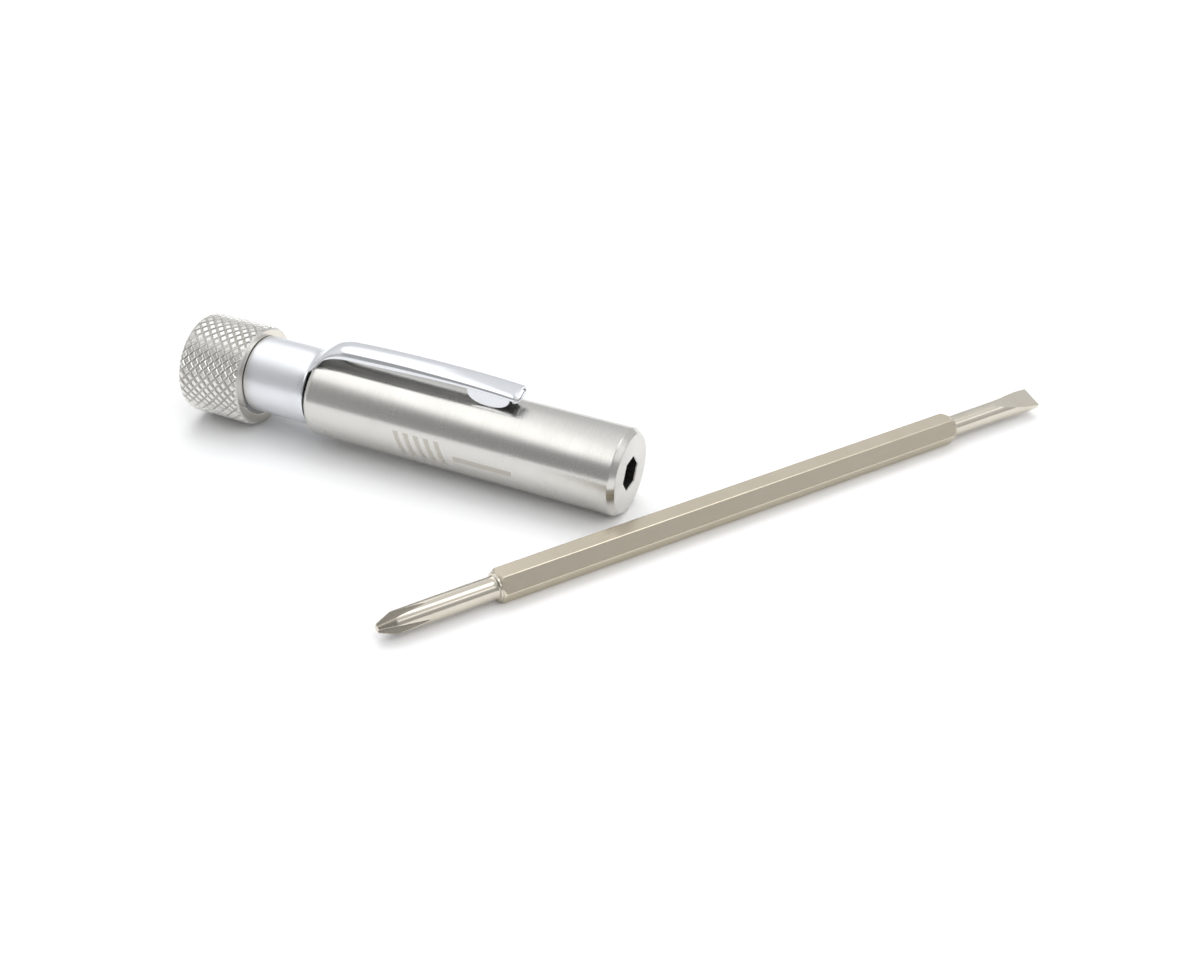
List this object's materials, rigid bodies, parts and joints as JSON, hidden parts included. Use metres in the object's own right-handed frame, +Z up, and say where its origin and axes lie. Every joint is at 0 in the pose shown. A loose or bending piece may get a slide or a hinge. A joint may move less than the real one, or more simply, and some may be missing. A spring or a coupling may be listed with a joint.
{
  "type": "pocket screwdriver",
  "caption": "Pocket screwdriver with a knurled cap and pen clip, lying beside its loose double-ended hexagon blade with a cross point and a slotted tip.",
  "frame": {"origin": "on the table under the middle of the pair's box", "axes": "+X along the handle from its cap to its nose, +Z up from the table, the loose blade lying aslant ahead of the nose"},
  "size_m": [0.1112, 0.0878, 0.0157],
  "materials": {
    "satin_nickel": "satin nickel, brushed along the barrel with a fine grain",
    "knurled_nickel": "bright nickel over a diamond knurl, polished front face",
    "spring_steel": "plain rolled steel",
    "bright_chrome": "mirror chrome plate",
    "bush_brass": "turned brass",
    "magnet_plating": "bright nickel plate",
    "black_oxide": "black oxide, slightly oily",
    "champagne_steel": "warm satin nickel over hardened steel, brighter edges"
  },
  "bodies": {
    "handle": {"barrel": "satin_nickel", "magnet_sleeve": "bush_brass", "blade_magnet": "magnet_plating", "bore_plug": "black_oxide"},
    "clip": {"pocket_clip": "bright_chrome"},
    "washer": {"clip_washer": "spring_steel"},
    "cap": {"knurled_cap": "knurled_nickel"},
    "blade": {"hex_blade": "champagne_steel"}
  },
  "joints": [
    {"name": "clip_swivel", "type": "hinge", "parent": "handle", "child": "clip", "pos_m": [0.01103, -0.00595, 0.00598], "axis": [-0.9998, 0, 0.0206], "continuous": true},
    {"name": "cap_turn", "type": "hinge", "parent": "handle", "child": "washer", "pos_m": [0.01103, -0.00595, 0.00598], "axis": [-0.9998, 0, 0.0206], "range_deg": [0, 1800]},
    {"name": "cap_travel", "type": "slide", "parent": "washer", "child": "cap", "axis": [-0.9998, 0, 0.0206], "range_m": [0, 0.004]},
    {"name": "blade_swing", "type": "hinge", "parent": "handle", "child": "blade", "pos_m": [0.04533, -0.05245, 0.00033], "axis": [0.0563, 0.0545, -0.9969], "range_deg": [0, 55.69]}
  ],
  "couplings": [
    {"joint": "cap_travel", "follows": "cap_turn", "m_per_rad": 0.00012732}
  ]
}
